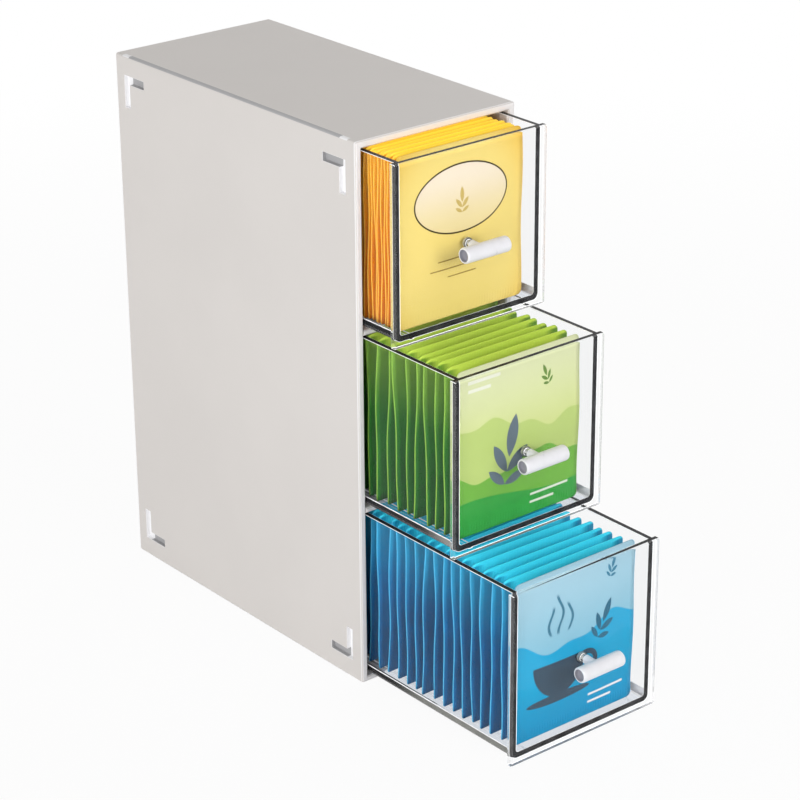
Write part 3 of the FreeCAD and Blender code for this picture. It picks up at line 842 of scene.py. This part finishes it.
def handle_shape(half, radius, reach):
    """A T-bar handle about the middle of its bar, with its stem's foot at the reach along Y.

    Bar: a circle carried along X. Its ends round off as a quarter superellipse, round a flat
    ring, and a blind recess goes in from the ring with rounded edges. Stem: a circle carried
    along Y from the bar's middle to the foot, where its radius grows by the flare, which dies
    away as exp(-9 t) along it.
    """
    part = np.sin(np.linspace(0, np.pi / 2, 12))
    fall = RING + (radius - RING) * (1 - (1 - part) ** 2.2) ** (1 / 2.2)
    end = np.stack([half - END_REACH * part, fall], axis=1)
    lip = LIP * np.cos(np.linspace(0, np.pi / 2, 5))
    mouth = np.stack([half - LIP + lip[::-1], DISH + LIP - lip], axis=1)
    bottom = half - DISH_DEPTH
    recess = [(bottom, 0.0), (bottom, DISH * 0.5), (bottom, DISH * 0.85), (bottom + LIP, DISH)]
    right = np.concatenate([recess, mouth, end])
    bar = turned(np.concatenate([right * (-1, 1), right[::-1]]), sides=48)
    t = np.linspace(0, 1, 16)
    rows = np.stack([-t * reach, STEM + STEM_FLARE * np.exp(-t * 9)], axis=1)
    shell, quads = turned(rows, sides=40)
    stem = np.stack([shell[:, 1], shell[:, 0] + reach, shell[:, 2]], axis=1)
    return joined([bar, (stem, quads)])


def screw_shape(head, length):
    """A screw along -Y from the middle of its crown, with a cross recess.

    Head: a flat dome, whose rows give depth and radius as shares of the head's. Shank: a circle
    carried along it, every other row a thread's depth narrower, closed at its tip.
    """
    rows = np.array([(0, 0), (0, 0.25), (0, 0.5), (0.03, 0.7), (0.14, 0.86), (0.4, 0.97),
                     (0.8, 1.0), (1.0, 1.0)])
    reach = HEAD_DEPTH + np.linspace(0, 1, THREAD_ROWS) * (length - HEAD_DEPTH)
    ridge = SHANK * (1 - THREAD_DEPTH * (np.arange(THREAD_ROWS) % 2))
    shank = np.stack([-reach, ridge], axis=1)
    profile = np.concatenate([rows * (-HEAD_DEPTH, head), shank, [(-length, 0.0)]])
    shell, quads = turned(profile, sides=36)
    along, x, z = shell.T
    cross = ((np.hypot(x, z) < CROSS_REACH * head) & (along > -0.1 * HEAD_DEPTH)
             & (np.minimum(np.abs(x), np.abs(z)) < CROSS_HALF * head))
    return np.stack([x, along - np.where(cross, CROSS_DEPTH * HEAD_DEPTH, 0), z], axis=1), quads


def swell(x, margin, rise):
    """0 within the margin of either end of 0 to 1, then a smooth rise to 1."""
    inward = np.minimum(x, 1 - x)
    part = np.clip((inward - margin) / rise, 0, 1)
    return np.sin(part * np.pi / 2) ** 1.3


def corner_inset(v, height, radius):
    """How far a quarter circle at each end of a side takes the outline in, at a height share."""
    near_end = np.minimum(np.minimum(v, 1 - v) * height, radius)
    return radius - np.sqrt(radius ** 2 - (radius - near_end) ** 2)


def envelope(corner, size, thickness, rng, lively):
    """One standing sachet as two bulged faces joined round their border, and its UV map.

    Across u and up v, half the thickness is edge + belly * swell(u) * swell(v), with a soft
    lumpiness from three sines. The middle surface leans, bows and twists, and ripples towards
    its sides. The outline narrows and widens a little, and its corners are quarter circles.
    """
    across, up = 27, 31
    rows = 0.5 - 0.5 * np.cos(np.linspace(0, np.pi, up))
    u, v = np.meshgrid(np.linspace(0, 1, across), rows, indexing="ij")
    width, height = size
    lumps = 1 + 0.10 * np.sin(5.1 * u + rng.uniform(0, 6)) * np.sin(4.3 * v + rng.uniform(0, 6))
    lumps += 0.05 * np.sin(13 * u + 9 * v + rng.uniform(0, 6))
    belly = (thickness / 2 - SEAL_HALF) * swell(u, 0.05, 0.3) * swell(v, 0.07, 0.28)
    half = SEAL_HALF + belly * lumps / 1.15
    lean = rng.uniform(-1, 1) * 1.1 * MM * lively
    bow = rng.uniform(-1, 1) * 0.6 * MM * lively
    ripple = rng.uniform(0.1, 0.4) * MM * lively
    left_phase, right_phase = rng.uniform(0, 6, 2)
    left = np.exp(-u / 0.12) * np.sin(5.5 * v + left_phase)
    right = np.exp(-(1 - u) / 0.12) * np.sin(5.5 * v + right_phase)
    middle = lean * (v - 0.5) * 2 + bow * (4 * (v - 0.5) ** 2 - 0.5) + ripple * (left + right)
    middle += rng.uniform(-1, 1) * 1.2 * MM * lively * (u - 0.5) * 2 * (v - 0.3)
    narrow = 0.35 * MM * np.sin(3 * np.pi * v + rng.uniform(0, 6)) * (u - 0.5) * 2
    left_in = corner_inset(v, height, np.where(v < 0.5, SHARP_CORNER, SACHET_CORNER))
    right_in = corner_inset(v, height, SACHET_CORNER)
    x = corner[0] + left_in + u * (width - left_in - right_in) + narrow
    y = corner[1] + middle
    z = corner[2] + v * height
    points, faces = closed_pair(np.stack([x, y - half, z], axis=2),
                                np.stack([x, y + half, z], axis=2))
    uv = np.stack([u.ravel(), v.ravel()], axis=1)
    return points, faces, np.concatenate([uv, uv])


def add_sachets(name, envelopes, finish, tints):
    """One mesh of several sachets, with a UV map from each and a tint for each."""
    points, faces = joined([shell[:2] for shell in envelopes])
    piece = new_piece(name, points, faces, finish)
    mesh = piece.data
    corners = np.empty(len(mesh.loops), dtype=np.int32)
    mesh.loops.foreach_get("vertex_index", corners)
    uv = np.concatenate([places for _, _, places in envelopes])
    mesh.uv_layers.new(name="sheet").data.foreach_set("uv", uv[corners].ravel())
    tint = mesh.attributes.new("tint", "FLOAT", "POINT")
    tint.data.foreach_set("value", np.repeat(tints, [len(shell[0]) for shell in envelopes]))
    return piece


# ---------------------------------------------------------------- settings and operators

class TEABOX_PG_settings(bpy.types.PropertyGroup):
    """Sizes and colours of the box that a user would change."""

    case_colour: FloatVectorProperty(
        name="Case colour", description="Colour of the moulded case", subtype="COLOR",
        default=linear("E2DEDB")[:3], min=0, max=1)
    handle_colour: FloatVectorProperty(
        name="Handle colour", description="Colour of the handles", subtype="COLOR",
        default=linear("F0F0F5")[:3], min=0, max=1)
    edge_softness: FloatProperty(
        name="Edge softness", description="Rounding of the case's moulded edges", unit="LENGTH",
        default=0.25 * MM, min=0.05 * MM, max=0.5 * MM)
    sachets_bottom: IntProperty(
        name="Bottom row", description="Sachets behind the front one", default=19, min=1)
    sachets_middle: IntProperty(
        name="Middle row", description="Sachets behind the front one", default=17, min=1)
    sachets_top: IntProperty(
        name="Top row", description="Sachets behind the front one", default=23, min=1)


class TEABOX_OT_case(bpy.types.Operator):
    """Dress the case shell, its shelves and its back panel"""

    bl_idname = "teabox.case"
    bl_label = "Case"

    def execute(self, context):
        settings = context.scene.tea_box
        # The second finish is the colour lifted as painted light. It goes on faces that look to the
        # front and, through the bevel's slot, on the rounded edges.
        finishes = (case_finish("satin_white_plastic", settings.case_colour),
                    case_finish("satin_white_rims_painted_light", settings.case_colour, RIM_PAINTED_LIGHT))
        for node in ("case_shell", "shelf_lower", "shelf_upper", "back_panel"):
            piece = softened_copy(node, f"{node}_moulding", settings.edge_softness)
            normal, _ = face_places(piece)
            sort_faces(piece, finishes, normal[:, 1] < -STRAIGHT)
            settle(piece, "case", "case_plastic", node)
        return {"FINISHED"}


class TEABOX_OT_drawers(bpy.types.Operator):
    """Dress the three clear drawers"""

    bl_idname = "teabox.drawers"
    bl_label = "Drawers"

    def execute(self, context):
        finishes = clear_finishes()
        # Painted shade for the joint and the lines' outward faces, a painted highlight for their
        # rims and inner faces.
        dark = joint_finish("front_seam_painted_shade", "141416", "303032", 0.2)
        pale = joint_finish("floor_line_painted_highlight", "DCDCDE", "F0F0F2", 0.1)
        for drawer in DRAWERS:
            node = f"drawer_{drawer}"
            piece = softened_copy(node, f"{node}_clear", CLEAR_SOFTNESS)
            sort_faces(piece, finishes, clear_places(piece, *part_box(node)))
            settle(piece, f"{drawer}_drawer", "clear_plastic", node)
            line = floor_line_painted_shade(f"floor_line_{drawer}", *FLOOR_LINES[drawer])
            painted_shade_lines = add_seam(f"{node}_seam", *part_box(node), (dark, line, pale))
            settle(painted_shade_lines, f"{drawer}_drawer", "clear_plastic")
        return {"FINISHED"}


class TEABOX_OT_handles(bpy.types.Operator):
    """Model the T-bar handles"""

    bl_idname = "teabox.handles"
    bl_label = "Handles"

    def execute(self, context):
        finishes = (handle_finish(context.scene.tea_box.handle_colour), recess_painted_shade_finish())
        for drawer in DRAWERS:
            node = f"handle_{drawer}"
            low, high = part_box(node)
            half, radius = (high.x - low.x) / 2, (high.z - low.z) / 2
            middle = np.array([(low.x + high.x) / 2, low.y + radius, (low.z + high.z) / 2])
            points, faces = handle_shape(half, radius, high.y - middle[1])
            piece = cleaned(new_piece(f"{node}_bar", points + middle, faces, finishes[0]))
            x, y, z = np.abs(face_places(piece)[1] - middle).T
            # The recess's faces take the grey painted shade.
            recess = (np.hypot(y, z) < DISH * 1.02) & (x > half - DISH_DEPTH * 1.1)
            sort_faces(piece, finishes, recess)
            settle(piece, f"{drawer}_drawer", "handle_plastic", node)
        return {"FINISHED"}


class TEABOX_OT_screws(bpy.types.Operator):
    """Model the handle screws"""

    bl_idname = "teabox.screws"
    bl_label = "Screws"

    def execute(self, context):
        finish = steel_finish()
        for drawer in DRAWERS:
            node = f"handle_screw_{drawer}"
            low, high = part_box(node)
            crown = np.array([(low.x + high.x) / 2, high.y, (low.z + high.z) / 2])
            points, faces = screw_shape((high.x - low.x) * HEAD_SHARE, high.y - low.y)
            piece = new_piece(f"{node}_steel", points + crown, faces, finish, smooth=False)
            settle(cleaned(piece), f"{drawer}_drawer", "screw_steel", node)
        return {"FINISHED"}


class TEABOX_OT_sachets(bpy.types.Operator):
    """Model the tea sachets of each drawer"""

    bl_idname = "teabox.sachets"
    bl_label = "Sachets"

    def execute(self, context):
        settings = context.scene.tea_box
        for drawer in DRAWERS:
            flavour, lively, sheets = FLAVOUR[drawer], LIVELY[drawer], SHEETS[drawer]
            rng = np.random.default_rng(SEED[drawer])
            slot = f"sachet_paper_{flavour}"
            low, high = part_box(f"sachet_front_{drawer}")
            left, width, height = low.x + SIDE_AIR, high.x - low.x - 2 * SIDE_AIR, high.z - low.z
            front = envelope((left, (low.y + high.y) / 2, low.z), (width, height),
                             SACHET_ROOM[drawer] * 0.9, rng, 0.25)
            piece = add_sachets(f"sachet_front_{drawer}_paper", [front],
                                front_finish(flavour), [0.0])
            settle(piece, f"{drawer}_drawer", slot, f"sachet_front_{drawer}")

            # The row: sheets at even steps along Y, which stand less freely near its ends. Each
            # is moved a little along the row and across it, and ends a little lower.
            low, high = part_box(f"sachets_{drawer}")
            thickness = SACHET_ROOM[drawer] / sheets
            count = getattr(settings, f"sachets_{drawer}") * sheets
            start, end = low.y + thickness / 2 + END_AIR, high.y - thickness / 2 - END_AIR
            row = []
            for y in np.linspace(start, end, count):
                free = lively if start + PRESSED < y < end - PRESSED else lively * 0.3
                y += rng.uniform(-0.35, 0.35) * MM * lively * (start < y < end)
                shift = rng.uniform(-0.6, 0.9) * MM
                drop = rng.uniform(0, 1.2) * MM
                row.append(envelope((left + shift, y, low.z), (width - 0.5 * MM, height - drop),
                                    thickness, rng, free))
            tints = rng.uniform(0, 1, count)
            piece = add_sachets(f"sachets_{drawer}_paper", row, sachet_finish(flavour), tints)
            settle(piece, f"{drawer}_drawer", slot, f"sachets_{drawer}")
        return {"FINISHED"}


# ---------------------------------------------------------------- stage

def seen_directly(f):
    """1 for what is seen straight, through clear things or in glossy ones, 0 for other light."""
    paths = f.node("ShaderNodeLightPath").outputs
    seen = Value(f, paths["Is Camera Ray"])
    for kind in ("Is Transmission Ray", "Is Glossy Ray"):
        seen = seen.math("MAXIMUM", paths[kind])
    return seen


def floor_finish():
    """Pale paper, lifted nearly to white where it is seen directly, and to white far from the
    box."""
    f = Finish("floor_paper")
    paper = f.shader(Base_Color=shade(WHITE, 0.86), Roughness=0.9, Specular_IOR_Level=0.1)
    x, y, _ = f.axes()
    far = (x * x + y * y).ramp(0.09, 0.8)
    white = f.light("ShaderNodeEmission", WHITE, 1.0)
    return f.done(f.layered(seen_directly(f) * (far * 0.06 + 0.94), paper, white))


def studio_world():
    """Soft warm-white light, and plain white where the world is seen directly."""
    f = Finish("studio", bpy.data.worlds)
    soft = f.light("ShaderNodeBackground", WORLD_COLOUR, WORLD_STRENGTH)
    white = f.light("ShaderNodeBackground", WHITE, 1.0)
    return f.done(f.layered(seen_directly(f), soft, white), "ShaderNodeOutputWorld")


def look_at(thing, azimuth, elevation, distance, aim, roll=0.0):
    """Puts a lamp or camera at a direction and distance from what it looks at."""
    a, e = math.radians(azimuth), math.radians(elevation)
    back = Vector((math.sin(a) * math.cos(e), -math.cos(a) * math.cos(e), math.sin(e)))
    level = back.to_track_quat("Z", "Y")
    thing.rotation_mode = "QUATERNION"
    thing.rotation_quaternion = (
        level @ Matrix.Rotation(math.radians(-roll), 3, "Z").to_quaternion())
    thing.location = Vector(aim) + back * distance


class TEABOX_OT_stage(bpy.types.Operator):
    """Set the floor, the soft studio light, the plain backdrop and the camera"""

    bl_idname = "teabox.stage"
    bl_label = "Stage"

    def execute(self, context):
        scene = context.scene
        scene.view_settings.view_transform = "Standard"
        scene.world = studio_world()

        # Floor: a flat grid of points.
        reach = np.linspace(-FLOOR_REACH, FLOOR_REACH, 13)
        x, y = np.meshgrid(reach, reach, indexing="ij")
        points = np.stack([x.ravel(), y.ravel(), np.full(x.size, FLOOR_LEVEL)], axis=1)
        new_piece("floor", points, grid_quads(*x.shape)[1], floor_finish())

        for name, (azimuth, elevation, distance, size, power) in LAMPS.items():
            light = bpy.data.lights.new(name, "AREA")
            light.shape = "SQUARE"
            light.size = size
            light.energy = power
            look_at(added(name, light), azimuth, elevation, distance, LAMP_AIM)

        data = bpy.data.cameras.new("camera")
        data.sensor_width = 36.0
        data.lens = CAMERA_LENS
        data.clip_start, data.clip_end = 0.01, 50.0
        camera = added("camera", data)
        look_at(camera, CAMERA_AZIMUTH, CAMERA_ELEVATION, CAMERA_DISTANCE, CAMERA_AIM, CAMERA_ROLL)
        scene.camera = camera
        return {"FINISHED"}


OPERATORS = (TEABOX_OT_case, TEABOX_OT_drawers, TEABOX_OT_handles, TEABOX_OT_screws,
             TEABOX_OT_sachets, TEABOX_OT_stage)


class TEABOX_PT_sidebar(bpy.types.Panel):
    """Lists the settings and the operators of the tea box"""

    bl_label = "Tea Box"
    bl_space_type = "VIEW_3D"
    bl_region_type = "UI"
    bl_category = "Tea Box"

    def draw(self, context):
        for name in TEABOX_PG_settings.__annotations__:
            self.layout.prop(context.scene.tea_box, name)
        for operator in OPERATORS:
            self.layout.operator(operator.bl_idname)


CLASSES = (TEABOX_PG_settings, *OPERATORS, TEABOX_PT_sidebar)


def register():
    """Registers the classes and the scene's settings."""
    for cls in CLASSES:
        bpy.utils.register_class(cls)
    bpy.types.Scene.tea_box = PointerProperty(type=TEABOX_PG_settings)


def unregister():
    """Removes what register made."""
    del bpy.types.Scene.tea_box
    for cls in reversed(CLASSES):
        bpy.utils.unregister_class(cls)


def main():
    """Makes every piece and the stage."""
    register()
    for operator in OPERATORS:
        group, name = operator.bl_idname.split(".")
        getattr(getattr(bpy.ops, group), name)()


if __name__ == "__main__":
    main()
